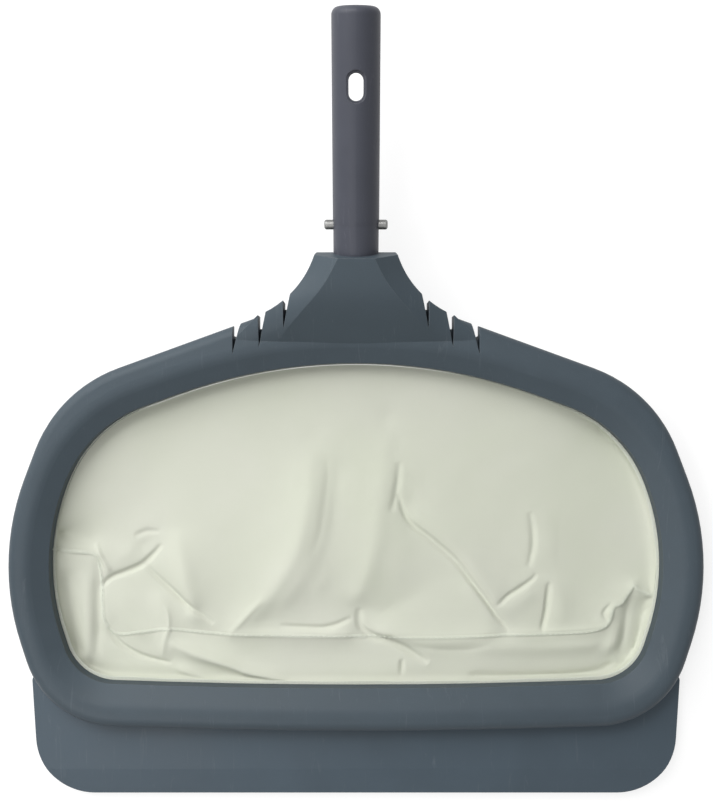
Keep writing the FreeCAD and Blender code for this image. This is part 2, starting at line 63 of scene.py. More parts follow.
def mesh_piece(name, points, quads, material, uv=None, body="head", smooth=True):
    """Object at the origin with these points, four-sided faces, UVs of the points and the body it rides on."""
    points = np.asarray(points, np.float32).reshape(-1, 3)
    quads = np.asarray(quads, np.int32).reshape(-1, 4)
    mesh = bpy.data.meshes.new(name)
    mesh.vertices.add(len(points))
    mesh.vertices.foreach_set("co", points.ravel())
    mesh.loops.add(quads.size)
    mesh.loops.foreach_set("vertex_index", quads.ravel())
    mesh.polygons.add(len(quads))
    mesh.polygons.foreach_set("loop_start", np.arange(0, quads.size, 4, dtype=np.int32))
    mesh.update(calc_edges=True)
    mesh.validate()
    mesh.polygons.foreach_set("use_smooth", np.full(len(mesh.polygons), smooth))
    if uv is not None:
        layer = mesh.uv_layers.new(name="UVMap")
        layer.data.foreach_set("uv", np.asarray(uv, np.float32).reshape(-1, 2)[quads.ravel()].ravel())
    mesh.materials.append(material)
    piece = bpy.data.objects.new(name, mesh)
    bpy.context.scene.collection.objects.link(piece)
    if body:
        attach(piece, body)
    return piece


def grid_quads(rows, columns, close_rows=False, close_columns=False):
    """Corner numbers of the cells of a grid whose points are listed row by row."""
    down = np.arange(rows if close_rows else rows - 1)
    across = np.arange(columns if close_columns else columns - 1)
    i, j = np.meshgrid(down, across, indexing="ij")
    k, m = (i + 1) % rows, (j + 1) % columns
    return np.stack([i * columns + j, i * columns + m, k * columns + m, k * columns + j], -1).reshape(-1, 4)


# Outline of the opening

ARC_POINTS = 60
RIM_POINTS = 1440


def rounded_outline(corners):
    """Closed line through rounded corners: between each corner's two tangent points runs a circular arc,
    point(a) = centre + radius * (cos a, sin a), and straight lines join the arcs."""
    place, radius = corners[:, :2], corners[:, 2]
    back = np.roll(place, 1, 0) - place
    ahead = np.roll(place, -1, 0) - place
    back /= np.linalg.norm(back, axis=1)[:, None]
    ahead /= np.linalg.norm(ahead, axis=1)[:, None]
    half = np.arccos((back * ahead).sum(1)) / 2
    middle = back + ahead
    middle /= np.linalg.norm(middle, axis=1)[:, None]
    centre = place + middle * (radius / np.sin(half))[:, None]
    start = place + back * (radius / np.tan(half))[:, None] - centre
    first = np.arctan2(start[:, 1], start[:, 0])
    turn = -(math.pi - 2 * half)
    a = first[:, None] + turn[:, None] * np.linspace(0, 1, ARC_POINTS)[None, :]
    arc = centre[:, None] + radius[:, None, None] * np.stack([np.cos(a), np.sin(a)], -1)
    return arc.reshape(-1, 2)


def steps_of(line):
    """Length of each step of a line."""
    return np.linalg.norm(np.diff(line, axis=0), axis=1)


def way_along(line):
    """Distance from the start of a line to each of its points."""
    return np.concatenate([[0], np.cumsum(steps_of(line))])


def evenly(line, count, closed=True):
    """Count points at even distances along a line."""
    if closed:
        line = np.concatenate([line, line[:1]])
    along = way_along(line)
    at = np.linspace(0, along[-1], count + 1)[:-1] if closed else np.linspace(0, along[-1], count)
    return np.stack([np.interp(at, along, line[:, k]) for k in range(line.shape[1])], 1)


def inward(line):
    """Unit vector to the inside at each point of a closed line that runs clockwise."""
    along = np.roll(line, -1, 0) - np.roll(line, 1, 0)
    side = np.stack([along[:, 1], -along[:, 0]], 1)
    return side / np.linalg.norm(side, axis=1)[:, None]


RIM = evenly(rounded_outline(OPENING), RIM_POINTS)
RIM_IN = inward(RIM)


# Materials

class Finish:
    """A node material, built by small steps that return sockets."""

    def __init__(self, name):
        self.material = bpy.data.materials.new(name)
        self.material.use_nodes = True
        self.tree = self.material.node_tree
        self.shader = self.tree.nodes["Principled BSDF"]
        self.count = 0

    def node(self, kind, inputs=(), **settings):
        """New node whose inputs are plain values or sockets of other nodes."""
        made = self.tree.nodes.new(kind)
        made.location = (-220 * (1 + self.count % 7), -260 * (self.count // 7))
        self.count += 1
        for key, value in settings.items():
            setattr(made, key, value)
        for key, value in dict(inputs).items():
            if isinstance(value, bpy.types.NodeSocket):
                self.tree.links.new(value, made.inputs[key])
            else:
                made.inputs[key].default_value = value
        return made

    def place(self, scale=(1, 1, 1), uv=False, turn=(0, 0, 0)):
        """Place on the object, or on its flat cut, in metres, scaled and then turned."""
        where = self.node("ShaderNodeTexCoord").outputs["UV" if uv else "Object"]
        return self.node("ShaderNodeMapping", {"Vector": where, "Scale": scale, "Rotation": turn}).outputs[0]

    def noise(self, where, scale, detail=3.0, roughness=0.55, distortion=0.0):
        """Cloudy number about 0.5."""
        inputs = {"Vector": where, "Scale": scale, "Detail": detail}
        inputs.update({"Roughness": roughness, "Distortion": distortion})
        return self.node("ShaderNodeTexNoise", inputs).outputs["Fac"]

    def math(self, operation, a, b=0.0):
        """One step of arithmetic."""
        return self.node("ShaderNodeMath", {0: a, 1: b}, operation=operation).outputs[0]

    def spread(self, value, low, high, to_low=0.0, to_high=1.0):
        """The value's stretch from low to high laid over another stretch, and held at its ends."""
        inputs = {"Value": value, "From Min": low, "From Max": high, "To Min": to_low, "To Max": to_high}
        return self.node("ShaderNodeMapRange", inputs, clamp=True).outputs[0]

    def mixed(self, share, a, b):
        """Colour a with a share of colour b."""
        made = self.node("ShaderNodeMix", data_type="RGBA")
        for key, value in ((0, share), (6, a), (7, b)):
            if isinstance(value, bpy.types.NodeSocket):
                self.tree.links.new(value, made.inputs[key])
            else:
                made.inputs[key].default_value = (*value, 1) if key else value
        return made.outputs[2]

    def bump(self, height, distance, strength=1.0, normal=None):
        """Normal of a surface that stands up by the height times the distance."""
        inputs = {"Height": height, "Distance": distance, "Strength": strength}
        if normal is not None:
            inputs["Normal"] = normal
        return self.node("ShaderNodeBump", inputs).outputs[0]

    def set(self, **values):
        """Give the shader plain values or sockets; the finished material comes back."""
        for key, value in values.items():
            socket = self.shader.inputs[key.replace("_", " ")]
            if isinstance(value, bpy.types.NodeSocket):
                self.tree.links.new(value, socket)
            else:
                socket.default_value = (*value, 1) if isinstance(value, tuple) else value
        return self.material


def shade(colour, factor):
    """The colour made lighter or darker."""
    return tuple(min(1.0, c * factor) for c in colour)


def moulded_plastic(name, colour, wear_and_highlight, roughness=0.5, seed=0.0):
    """Satin moulded plastic: fine even grain, slow clouds of colour, faint scuffs and paler edges, part wear,
    part painted highlight.
    """
    f = Finish(name)
    shift = (seed, seed * 0.7, 0.0)
    shifted = f.node("ShaderNodeVectorMath", {0: f.place(), 1: shift}, operation="ADD").outputs[0]
    clouds = f.noise(shifted, 16, 4, 0.6, 0.4)
    grain = f.noise(shifted, 2600, 2, 0.6)
    scuffs = f.noise(f.place((240, 22, 60), turn=(0, 0, 0.5)), 1.0, 5, 0.7, 1.2)
    tone = f.mixed(f.spread(clouds, 0.35, 0.65), shade(colour, 0.93), shade(colour, 1.07))
    tone = f.mixed(f.spread(grain, 0.4, 0.62, 0, 0.5), tone, shade(colour, 0.9))
    rounded = f.node("ShaderNodeBevel", {"Radius": 0.0007}, samples=4).outputs[0]
    normals = {0: rounded, 1: f.node("ShaderNodeNewGeometry").outputs["Normal"]}
    alike = f.node("ShaderNodeVectorMath", normals, operation="DOT_PRODUCT").outputs["Value"]
    # Every edge is painted paler, more where scuffed: partly wear, partly a painted highlight.
    edge = f.spread(alike, 0.995, 0.90, 0, 0.5)
    tone = f.mixed(f.math("MULTIPLY", edge, f.spread(scuffs, 0.35, 0.6, 0.3, 1.0)), tone, wear_and_highlight)
    tone = f.mixed(f.spread(scuffs, 0.60, 0.72, 0, 0.16), tone, wear_and_highlight)
    cloudy_grain = f.math("ADD", f.math("MULTIPLY", grain, 0.35), clouds)
    rough = f.spread(cloudy_grain, 0.5, 0.95, roughness - 0.05, roughness + 0.07)
    bumped = f.bump(grain, 0.00006, 0.55, rounded)
    bumped = f.bump(f.noise(shifted, 90, 3), 0.0006, 0.12, bumped)
    return f.set(Base_Color=tone, Roughness=rough, Normal=bumped, Specular_IOR_Level=0.25)


def drawn_steel(name, colour, roughness, fine=(4000, 90, 4000)):
    """Steel with fine drawn lines, faint stains and softened edges."""
    f = Finish(name)
    lines = f.noise(f.place(fine), 1.0, 4, 0.6)
    stains = f.noise(f.place(), 160, 4, 0.6, 0.6)
    tone = f.mixed(f.spread(stains, 0.35, 0.7), shade(colour, 1.06), shade(colour, 0.78))
    tone = f.mixed(f.spread(lines, 0.35, 0.65, 0, 0.25), tone, shade(colour, 0.8))
    rough = f.spread(lines, 0.3, 0.7, roughness - 0.06, roughness + 0.1)
    rounded = f.node("ShaderNodeBevel", {"Radius": 0.0003}, samples=4).outputs[0]
    return f.set(Base_Color=tone, Roughness=rough, Metallic=1.0, Normal=f.bump(lines, 0.00003, 0.5, rounded))


def woven_cloth(name, colour, pitch, depth):
    """Plain weave on the cloth's own flat cut in metres: height is the larger of two rows of round yarns,
    |sin(u)| and |sin(v)|, that swap over and under in each cell; painted shade where the cloth lies low
    between the yarns, uneven yarns, slow tint and faint stains."""
    f = Finish(name)
    flat = f.node("ShaderNodeTexCoord").outputs["UV"]
    wander = f.noise(f.place((260, 260, 1), uv=True), 1.0, 3)
    parts = f.node("ShaderNodeSeparateXYZ", {0: flat}).outputs
    turns = math.pi / pitch
    push = f.math("MULTIPLY", wander, 0.9)
    sine_u = f.math("SINE", f.math("ADD", f.math("MULTIPLY", parts[0], turns), push))
    sine_v = f.math("SINE", f.math("ADD", f.math("MULTIPLY", parts[1], turns), push))
    over = f.math("MULTIPLY", f.math("MULTIPLY", sine_u, sine_v), 0.3)
    warp = f.math("ADD", f.math("ABSOLUTE", sine_u), over)
    weft = f.math("SUBTRACT", f.math("ABSOLUTE", sine_v), over)
    woven = f.math("MAXIMUM", warp, weft)
    slubs = f.noise(f.place((40, 900, 1), uv=True), 1.0, 3)
    slubs_across = f.noise(f.place((900, 40, 1), uv=True), 1.0, 3)
    tint = f.noise(f.place(), 9, 3, 0.5)
    warmer = tuple(c * k for c, k in zip(colour, (0.955, 0.98, 0.93)))
    tone = f.mixed(f.spread(tint, 0.35, 0.65), shade(colour, 1.03), warmer)
    # Painted shade: the colour is darker where the cloth lies low between the yarns.
    tone = f.mixed(f.spread(woven, 0.55, 0.95, 1.0, 0.0), tone, shade(colour, 0.82))
    both = f.math("ADD", slubs, slubs_across)
    tone = f.mixed(f.spread(both, 0.9, 1.25, 0.0, 0.35), tone, shade(colour, 0.93))
    bumped = f.bump(woven, depth, 0.8)
    bumped = f.bump(both, depth * 1.5, 0.35, bumped)
    return f.set(Base_Color=tone, Roughness=0.85, Normal=bumped, Sheen_Weight=0.12, Sheen_Roughness=0.5,
                 Specular_IOR_Level=0.25)


def twisted_thread(name, colour, fine=9000):
    """Twisted thread or cord: fine slanted strands in two tones and a soft sheen."""
    f = Finish(name)
    strands = f.noise(f.place((fine, fine, fine), turn=(0, 0, 0.6)), 1.0, 2)
    tone = f.mixed(f.spread(strands, 0.35, 0.65), shade(colour, 1.05), shade(colour, 0.8))
    return f.set(Base_Color=tone, Roughness=0.7, Normal=f.bump(strands, 0.00003, 0.6), Sheen_Weight=0.2)


FRAME_COLOUR = (0.053, 0.071, 0.086)
# Paler colour for the frame's scuffs and edges; on the edges it is partly a painted highlight.
FRAME_WEAR_AND_HIGHLIGHT = (0.20, 0.22, 0.235)
LIP_COLOUR = (0.060, 0.083, 0.104)
HANDLE_COLOUR = (0.059, 0.063, 0.080)
NET_COLOUR = (0.63, 0.645, 0.555)
HEM_COLOUR = (0.64, 0.66, 0.58)
SEAM_COLOUR = (0.63, 0.65, 0.56)
finishes = {
    "front_frame": moulded_plastic("moulded blue-grey frame", FRAME_COLOUR, FRAME_WEAR_AND_HIGHLIGHT),
    "rear_frame": moulded_plastic("moulded blue-grey back", FRAME_COLOUR, FRAME_WEAR_AND_HIGHLIGHT, seed=3.1),
    "scoop_lip": moulded_plastic("moulded lip", LIP_COLOUR, (0.21, 0.24, 0.26), 0.47, 1.7),
    "handle_tube": moulded_plastic("moulded handle", HANDLE_COLOUR, (0.2, 0.2, 0.23), 0.46, 5.3),
    "cross_pin": drawn_steel("drawn pin steel", (0.60, 0.60, 0.58), 0.34),
    "snap_spring": drawn_steel("spring leaf steel", (0.46, 0.46, 0.47), 0.30),
    "left_button": drawn_steel("turned button steel", (0.235, 0.235, 0.23), 0.42),
    "ring_screws": drawn_steel("plated screw steel", (0.58, 0.58, 0.54), 0.36, fine=(3000, 3000, 200)),
    "hem_cord": twisted_thread("twisted cord fibre", (0.62, 0.62, 0.57), 2500),
}
finishes["right_button"] = finishes["left_button"]
finishes["lip_screws"] = finishes["neck_screws"] = finishes["ring_screws"]
for node, finish in finishes.items():
    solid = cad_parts[node]
    if not solid.data.materials:
        solid.data.materials.append(finish)
    for slot in solid.material_slots:
        slot.link = "OBJECT"
        slot.material = finish
net_cloth = woven_cloth("fine net cloth", NET_COLOUR, 0.0006, 0.00005)
hem_tape = woven_cloth("hem tape", HEM_COLOUR, 0.0009, 0.00009)
seam_cloth = woven_cloth("seam tape", SEAM_COLOUR, 0.0007, 0.00006)
thread = twisted_thread("sewing thread", (0.66, 0.68, 0.60))


# Spring of the snap buttons, drawn along +Y from the neck's shoulder and then turned with the tube. Places
# along the tube are measured from the shoulder.

TUBE_TILT = math.radians(18.5)
SHOULDER = (0.0, 0.105272, 0.035)
LEAF_THICK, LEAF_WIDE = 0.0008, 0.008
BEND_PLACE, BEND_RADIUS = -0.0086, 0.0027
PAD_START, PAD_END, PAD_SIDE = 0.0125, 0.0215, 0.008505
CURL_END, CURL_IN = 0.0265, 0.002


def along_tube(points):
    """Points turned by the tube's tilt about X and moved to the shoulder."""
    x, y, z = points[..., 0], points[..., 1], points[..., 2]
    lean, rise = math.cos(TUBE_TILT), math.sin(TUBE_TILT)
    return np.stack([x, y * lean - z * rise, y * rise + z * lean], -1) + SHOULDER


def spring_leg(side):
    """Half of the V-shaped leaf. Its middle line is a quarter circle that starts on the tube's axis, a
    straight leg, the pad under the button and an inward curl; at each place the section is a rectangle, half
    the thickness across the line on both sides and half the width up and down."""
    a = np.linspace(-math.pi / 2, 0, 9)
    bend = np.stack([np.cos(a), np.sin(a)], 1)
    leg = evenly(np.array([(BEND_RADIUS, BEND_PLACE), (PAD_SIDE, PAD_START)]), 16, False)[1:]
    pad = [(PAD_SIDE, PAD_END), (PAD_SIDE - CURL_IN, CURL_END)]
    line = np.concatenate([bend * BEND_RADIUS + (0, BEND_PLACE), leg, pad])
    across = np.concatenate([bend, np.tile((1.0, 0.0), (len(line) - len(bend), 1))]) * LEAF_THICK / 2
    sides = np.stack([line + across, line + across, line - across, line - across], 1)
    levels = np.broadcast_to(np.array([1, -1, -1, 1]) * LEAF_WIDE / 2, sides.shape[:2])
    points = np.concatenate([sides, levels[..., None]], -1) * (side, 1, 1)
    end = 4 * len(line)
    caps = [(3, 2, 1, 0), (end - 4, end - 3, end - 2, end - 1)]
    quads = np.concatenate([grid_quads(len(line), 4, close_columns=True), caps])
    return along_tube(points), quads if side > 0 else quads[:, ::-1]


for name, side, button in (("left_spring_leg", -1, "left_button"), ("right_spring_leg", 1, "right_button")):
    leg_points, leg_quads = spring_leg(side)
    leg = mesh_piece(name, leg_points, leg_quads, finishes["snap_spring"], body=None, smooth=False)
    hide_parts("snap_spring")
    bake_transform(leg)


# Bag

# Places near the rim where the four sides of the bag's patch meet, and how far inside the rim its edge runs
PATCH_CORNERS = [(-0.160, -0.002), (0.160, -0.002), (0.172, -0.156), (-0.172, -0.156)]
EDGE_INSET = 0.0008


def bag_grid(rows, columns):
    """Plan of the bag: a patch between four stretches of the rim, from the middles of its four tight corners.
    point(s, t) = blend of the two sides in s + blend of the two ends in t - blend of the four corners."""
    line = RIM + RIM_IN * EDGE_INSET
    cut = [int(np.argmin(np.hypot(line[:, 0] - x, line[:, 1] - y))) for x, y in PATCH_CORNERS]
    stretch = [np.roll(line, -a, 0)[: (b - a) % len(line) + 1] for a, b in zip(cut, cut[1:] + cut[:1])]
    top, right, bottom, left = stretch
    s = np.linspace(0, 1, columns)
    t = np.linspace(0, 1, rows)
    top, bottom = evenly(top, columns, False), evenly(bottom[::-1], columns, False)
    right, left = evenly(right, rows, False), evenly(left[::-1], rows, False)
    S, T = s[None, :, None], t[:, None, None]
    plan = (1 - T) * top[None] + T * bottom[None] + (1 - S) * left[:, None] + S * right[:, None]
    plan -= (1 - S) * (1 - T) * top[0] + S * (1 - T) * top[-1] + (1 - S) * T * bottom[0] + S * T * bottom[-1]
    return plan


def from_rim(plan):
    """Distance inwards from the rim to each point, and how far along the rim it is, from 0 to 1. The grid is
    taken in portions to spare memory."""
    flat = plan.reshape(-1, 2)
    nearest = np.empty(len(flat), np.int64)
    for part in np.array_split(np.arange(len(flat)), 1 + len(flat) // 4000):
        apart = flat[part, None] - RIM[None, ::2]
        nearest[part] = 2 * (apart ** 2).sum(-1).argmin(1)
    inset = ((flat - RIM[nearest]) * RIM_IN[nearest]).sum(1)
    return inset.reshape(plan.shape[:2]), (nearest / RIM_POINTS).reshape(plan.shape[:2])


def smooth_through(knots, values, at):
    """Cubic line through points, its slope at each the mean of the slopes on both sides."""
    slope = np.gradient(values, knots)
    i = np.clip(np.searchsorted(knots, at, side="right") - 1, 0, len(knots) - 2)
    gap = knots[i + 1] - knots[i]
    q = (at - knots[i]) / gap
    return (
        (2 * q ** 3 - 3 * q ** 2 + 1) * values[i] + (q ** 3 - 2 * q ** 2 + q) * gap * slope[i]
        + (3 * q ** 2 - 2 * q ** 3) * values[i + 1] + (q ** 3 - q ** 2) * gap * slope[i + 1]
    )


def drawn(rows):
    """Fine line through the given points, its other columns with it."""
    rows = np.array(rows, float)
    knots = np.linspace(0, 1, len(rows))
    fine = np.linspace(0, 1, 8 * len(rows))
    return np.stack([smooth_through(knots, column, fine) for column in rows.T], 1)


def beside(plan, rows, reach):
    """For the points near a line, in a box around it that is wider by reach: which they are, their signed
    distance from it (left is positive), how far along it they are from 0 to 1, and the line's other columns
    there."""
    line = drawn(rows)
    x, y = plan[..., 0].ravel() * 1000, plan[..., 1].ravel() * 1000
    low, high = line[:, :2].min(0) - reach, line[:, :2].max(0) + reach
    near = np.flatnonzero((x > low[0]) & (x < high[0]) & (y > low[1]) & (y < high[1]))
    a, step = line[:-1, :2], np.diff(line[:, :2], axis=0)
    size = np.linalg.norm(step, axis=1)
    to = np.stack([x[near], y[near]], -1)[:, None] - a
    share = np.clip((to * step).sum(-1) / size ** 2, 0, 1)
    far = np.linalg.norm(to - share[..., None] * step, axis=-1)
    pick = far.argmin(1)
    row = np.arange(len(near))
    cross = step[pick, 0] * to[row, pick, 1] - step[pick, 1] * to[row, pick, 0]
    start = np.concatenate([[0], np.cumsum(size)])
    along = (start[pick] + share[row, pick] * size[pick]) / start[-1]
    extra = line[pick, 2:] + share[row, pick][:, None] * (line[pick + 1, 2:] - line[pick, 2:])
    return near, np.where(cross > 0, 1, -1) * far[row, pick], along, extra


# Lines that hold the bag's cloth up or down, as points with their height above the floor, all in millimetres:
# the crests of its main folds, the valleys between them, the seam and the small folds beside it
HELD_LINES = [
    [(27.5, -13, 1.3), (27.5, -29.5, 2.2)],
    [(25.5, -60.5, 3.2), (27.5, -72, 3.4), (29.5, -86.5, 3.2), (27.5, -102.5, 3)],
    [(193, -122, 1.5), (191, -138, 1.3), (187.5, -151, 1.3)],
    [(-160.5, -148.5, 3.2), (-155, -155.5, 2.2), (-146, -162, 1.8)],
    [(-117, -163, 4.6), (-99, -169.5, 5.2), (-83, -174, 6)],
    [(-32, -11.5, 1.2), (-31, -26, 3), (-30, -39.5, 4.9), (-31.5, -55.5, 6.9), (-35, -72, 8.4),
     (-40, -89, 9.1), (-48, -102.5, 8.9), (-57, -115.5, 8), (-67.5, -126, 6.6), (-79.5, -136, 5.2)],
    [(-21.5, -26, 2), (-21, -39.5, 3.5), (-21.5, -55.5, 5.1), (-24.5, -72, 6.5), (-29.5, -89, 7.4),
     (-38, -105, 7.7), (-48.5, -119.5, 6.8)],
    [(21, 3.5, 1), (19.5, -13, 2.1), (18.5, -32.5, 3.4), (16.5, -52.5, 4.5), (14.5, -72, 5.2),
     (11, -89, 5.5), (6, -105, 5.2), (0, -117, 4.6)],
    [(-13, -32.5, 1.2), (-14, -52.5, 2.4), (-16, -72, 3.7), (-19.5, -92, 5), (-25.5, -111.5, 5.2)],
    [(-2.5, -124, 1.4), (9, -126, 1), (21, -125.5, 0.9), (34, -118, 0.9), (46, -109, 0.9), (59, -103, 1),
     (69.5, -100.5, 1.2)],
    [(14.5, -140, 4.6), (27.5, -142.5, 5), (45.5, -144.5, 5.2), (65, -144.5, 5.2), (81.5, -142, 5),
     (92.5, -138, 4.6)],
    [(75, -110.5, 3), (83, -121, 3.8), (90.5, -131.5, 4.2)],
    [(30, -56.5, 1.7), (36, -67.5, 1.5), (48.5, -77.5, 1.5), (65, -92, 1.5), (75, -105, 1.7),
     (85, -118, 1.9), (92.5, -128.5, 2.1), (100.5, -138, 2.5)],
    [(35.5, -53.5, 1.4), (41.5, -63, 2.8), (54, -73, 3.5), (69.5, -86.5, 3.9), (80, -100.5, 4),
     (90, -115, 3.9), (98, -125.5, 3.8)],
    [(-122, -71, 2), (-117, -82, 5.2), (-112.5, -99.5, 7.4), (-109, -118, 7.4), (-103, -131.5, 6)],
    [(-139.5, -94.5, 1.9), (-129, -104.5, 2.2), (-120.5, -112, 2.5), (-110.5, -121, 2.9),
     (-100, -128.5, 3.5), (-92, -134, 4.1)],
    [(-166.5, -109, 1.7), (-160.5, -103, 1.7), (-150, -99, 1.7), (-140.5, -94.5, 1.7), (-133, -87.5, 1.7),
     (-128, -81.5, 1.9)],
    [(-142, -83.5, 0.9), (-135.5, -80.5, 0.8)],
    [(-160.5, -92, 3), (-152.5, -89, 3.4), (-146, -84, 3)],
    [(-168, -89, 3), (-169, -98.5, 3.4), (-169.5, -111.5, 3.9), (-169.5, -126, 4.2), (-170, -142, 4),
     (-171.5, -157.5, 3.4)],
    [(-155, -118, 4), (-150.5, -128, 4.2), (-144.5, -136, 4.6), (-136.5, -140, 5)],
    [(-130, -117, 4.6), (-125.5, -126, 5.2), (-123.5, -136.5, 5.4), (-125.5, -145.5, 5),
     (-127, -153.5, 4.2)],
    [(-165.5, -136.5, 1.7), (-160.5, -143, 1.7), (-152.5, -149, 1.8), (-142, -154.5, 1.9),
     (-130, -157.5, 2.1), (-114.5, -160, 2.5), (-94.5, -162, 2.9), (-76, -165.5, 3.5)],
    [(-123.5, -144.5, 5), (-112.5, -150.5, 6.2), (-99, -155.5, 7.4), (-85.5, -160, 7.8), (-71.5, -165, 7.2),
     (-55, -168.5, 6.6), (-39.5, -172.5, 6.4)],
    [(-115.5, -136.5, 3), (-105, -139, 2.6), (-93.5, -144, 2.8), (-76, -149.5, 3.2)],
    [(-85.5, -140.5, 5), (-63, -141, 4.8), (-43.5, -142, 4.8), (-17, -142, 4.8), (-4, -140.5, 4.4)],
    [(-62, -132.5, 3.3), (-48.5, -134, 2.9), (-33.5, -134.5, 2.7), (-17, -134, 2.7), (-2.5, -128, 2.3)],
    [(-0.5, -125.5, 1.9), (0, -132, 1.7), (2.5, -138, 1.7), (10.5, -142.5, 1.9), (21, -145.5, 2),
     (31.5, -149.5, 2.3), (40.5, -155, 2.7), (47.5, -159.5, 3.7)],
    [(115, -55.5, 1.9), (116.5, -65.5, 1.7), (117, -78.5, 1.7), (115.5, -90.5, 1.9), (113.5, -98.5, 2.3)],
    [(125, -52.5, 0.9), (126, -65.5, 1.8), (127.5, -82, 2.3), (127.5, -93, 2.4)],
    [(93.5, -122.5, 2.7), (100, -116, 2.5), (108, -111, 2.5), (116.5, -105, 2.8)],
    [(100, -126, 3.6), (108, -119.5, 3.5), (115.5, -113, 3.4)],
    [(127, -107.5, 2.7), (126, -116, 2.1), (125, -126, 2.1), (123, -138, 2.7)],
    [(129.5, -105, 3), (134, -118, 3.6), (135.5, -131.5, 4.2)],
    [(102.5, -142.5, 4.4), (117.5, -141, 4.6), (134, -140, 4.8), (154, -138, 5), (163, -135, 5.2),
     (166.5, -129.5, 5.2), (169, -122.5, 5), (174, -120, 5), (178, -114, 5.2), (182, -108.5, 5.2),
     (186, -111.5, 5.4), (192, -114, 6), (197, -116, 6.6)],
    [(180, -118, 3.6), (177.5, -126, 3.2), (175.5, -138, 3), (173.5, -149.5, 2.8), (169.5, -160, 2.4)],
    [(171, -134.5, 5.2), (169.5, -144.5, 5.6), (164.5, -151, 5)],
    [(188, -121, 1.8), (186.5, -138, 1.4), (183.5, -151, 1.2)],
    [(81.5, -149.5, 4.2), (108, -149.5, 4.6), (134, -149, 4.8), (157.5, -147.5, 5)],
    [(75, -168, 1.4), (108, -168.5, 1.2), (134, -168, 1), (157.5, -165, 1), (169.5, -159.5, 1)],
    [(-181.5, -99.5, 3.6), (-177.5, -111.5, 4.8), (-175.5, -128, 5.4), (-175, -144.5, 5.2),
     (-177, -159, 4.6)],
    [(-189.5, -101.5, 2.2), (-186.5, -118, 2), (-184, -138, 2.2), (-181.5, -151, 2.8)],
    [(-201, -81.5, 7.2), (-193, -84.5, 5.4), (-184, -86, 4.2), (-175, -86.5, 3.4)],
    [(-193, -73.5, 1.6), (-182.5, -76, 1), (-172, -78.5, 0.9)],
    [(-171.5, -82, 2.6), (-167.5, -89, 4.4), (-163.5, -98, 3.6)],
]
# Narrow creases: depth, half width, then height and reach of the lip on the left and on the right, and points
GROOVES = [
    (2, 3.6, 0, 4, 0.3, 6, [(-168, -89), (-169, -98.5), (-169.5, -111.5), (-169.5, -126), (-170, -142),
     (-171.5, -159)]),
    (2.4, 1.5, 0.6, 4, 0.3, 4, [(-167.5, -109), (-160.5, -103), (-150, -99), (-140.5, -94.5), (-133, -87.5),
     (-128, -81.5)]),
    (0.8, 1.8, 0.3, 4, 0, 4, [(-146, -76.5), (-138, -73), (-129, -73.5)]),
    (1.8, 1.5, 0.4, 4, 0.4, 4, [(-139.5, -94.5), (-129, -104.5), (-120.5, -112), (-110.5, -121),
     (-100, -128.5), (-93.5, -133.5)]),
    (1.9, 1.5, 0.5, 4, 0.2, 4, [(-163, -136.5), (-159, -143), (-152.5, -149), (-142, -154.5),
     (-131.5, -157.5), (-121, -159.5)]),
    (0.5, 2.8, 0, 4, 0.2, 5, [(-19.5, -25), (-19, -39.5), (-21, -55.5), (-23.5, -72), (-29, -89)]),
    (3, 1.5, 0.5, 4, 0, 5, [(27.5, -48.5), (31, -59), (36, -67.5), (48.5, -77.5), (65, -92), (75, -105),
     (85, -118), (92.5, -128.5), (101, -138.5)]),
    (0.9, 2.2, 0.2, 5, 0.3, 4, [(28.5, -27.5), (26.5, -46), (23, -60.5)]),
    (1.1, 1.9, 0.4, 4, 0.2, 4, [(114.5, -60.5), (116.5, -72), (116.5, -84), (113.5, -97)]),
    (1.4, 1.35, 0.3, 4, 0.4, 4, [(92.5, -122.5), (100, -115.5), (108, -110.5), (115.5, -105),
     (119, -100.5)]),
    (2, 1.5, 0.4, 4, 0.2, 4, [(127, -106.5), (126, -116), (125, -126), (122, -139)]),
    (3, 2.2, 0.5, 5, 0.2, 4, [(2, -124), (2, -130.5), (4, -137), (11, -142), (21, -145), (31.5, -149.5),
     (40.5, -155), (47.5, -159.5)]),
    (1.6, 1.5, 0.2, 5, 0.2, 4, [(-50, -135), (-37, -136), (-18.5, -136), (-2.5, -130)]),
    (1.5, 1.4, 0.4, 3, 0.3, 3, [(30, -157), (30, -164), (29.5, -172)]),
    (0.3, 2.2, 0.2, 4, 0.2, 4, [(27.5, -146.5), (42, -149), (58.5, -151), (75, -150.5), (88, -147.5)]),
    (1, 3, 0.2, 4, 0.2, 4, [(182, -111.5), (179, -121), (177, -132.5), (175.5, -144.5), (173, -157.5)]),
    (1.1, 1.4, 0.2, 3, 0.2, 3, [(165, -132), (163, -126.5), (168, -120)]),
]
# Narrow ridges: height, half width and points
RIDGES = [
    (1.6, 1.3, [(-171, -80.5), (-167, -90), (-161.5, -99)]),
    (0.8, 3, [(-121, -146.5), (-111, -151), (-99, -155.5), (-85.5, -160), (-71.5, -165), (-55, -169.5),
     (-42, -172.5)]),
    (0.6, 2.4, [(-85.5, -141), (-63, -140.5), (-43.5, -141), (-17, -141), (-2.5, -140.5)]),
    (0.8, 1.4, [(-201, -80), (-193, -84.5), (-181.5, -86), (-169.5, -86.5)]),
    (0.8, 1.3, [(-125, -121), (-123, -128.5), (-123, -136.5), (-125.5, -145.5), (-127, -155)]),
    (0.8, 1.8, [(-83, -140.5), (-75.5, -132.5), (-68.5, -124.5), (-61, -117)]),
    (0.5, 1.4, [(100, -140.5), (114.5, -139), (134, -138), (154, -136.5), (163, -134.5), (166.5, -128.5),
     (168, -122), (173.5, -120), (178, -113.5), (182, -107), (185.5, -111.5), (192, -114), (198.5, -117)]),
]
